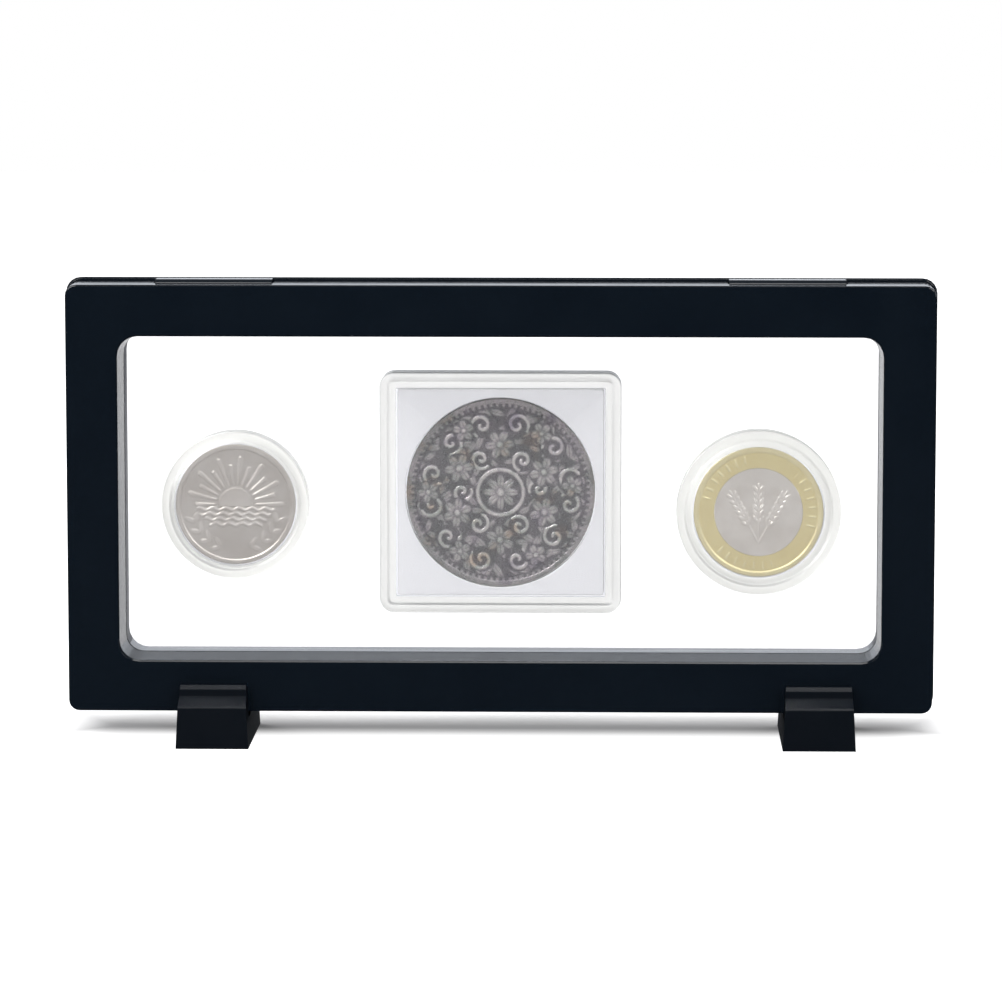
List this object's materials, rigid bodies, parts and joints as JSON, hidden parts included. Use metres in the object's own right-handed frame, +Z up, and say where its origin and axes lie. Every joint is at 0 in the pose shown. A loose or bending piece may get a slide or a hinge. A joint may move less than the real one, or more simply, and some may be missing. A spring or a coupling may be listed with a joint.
{
  "type": "coin display case",
  "caption": "Hinged black frame with two clear elastic films that hold coins in clear capsules between them, standing upright in clip-on feet.",
  "frame": {"origin": "on the table, below the middle of the case", "axes": "X to the right along the case, -Y out of the front, +Z up"},
  "size_m": [0.18, 0.0326, 0.096],
  "materials": {
    "black_abs": "injection-moulded black ABS, satin",
    "foot_abs": "injection-moulded black ABS, satin",
    "clear_film": "clear stretched polyurethane film",
    "clear_styrene": "injection-moulded clear polystyrene, polished",
    "white_foam": "off-white closed-cell foam",
    "toned_silver": "struck silver, toned dark in the recesses",
    "nickel_steel": "struck nickel-plated steel",
    "nickel_brass": "struck pale brass"
  },
  "bodies": {
    "left_foot": {"left_foot": "foot_abs"},
    "right_foot": {"right_foot": "foot_abs"},
    "case": {"rear_frame": "black_abs", "rear_film": "clear_film", "square_capsule_front": "clear_styrene", "square_capsule_rear": "clear_styrene", "square_capsule_insert": "white_foam", "large_coin": "toned_silver", "left_capsule_front": "clear_styrene", "left_capsule_rear": "clear_styrene", "left_coin": "nickel_steel", "right_capsule_front": "clear_styrene", "right_capsule_rear": "clear_styrene", "right_coin_ring": "nickel_brass", "right_coin_core": "nickel_steel"},
    "cover": {"front_frame": "black_abs", "front_film": "clear_film"}
  },
  "joints": [
    {"name": "case_lift", "type": "slide", "parent": "left_foot", "child": "case", "axis": [0, 0, 1], "range_m": [0, 0.02]},
    {"name": "right_foot_slide", "type": "slide", "parent": "left_foot", "child": "right_foot", "axis": [1, 0, 0], "range_m": [-0.1, 0.015]},
    {"name": "cover_hinge", "type": "hinge", "parent": "case", "child": "cover", "pos_m": [0, -0.0038, 0.094], "axis": [-1, 0, 0], "range_deg": [0, 100]}
  ]
}
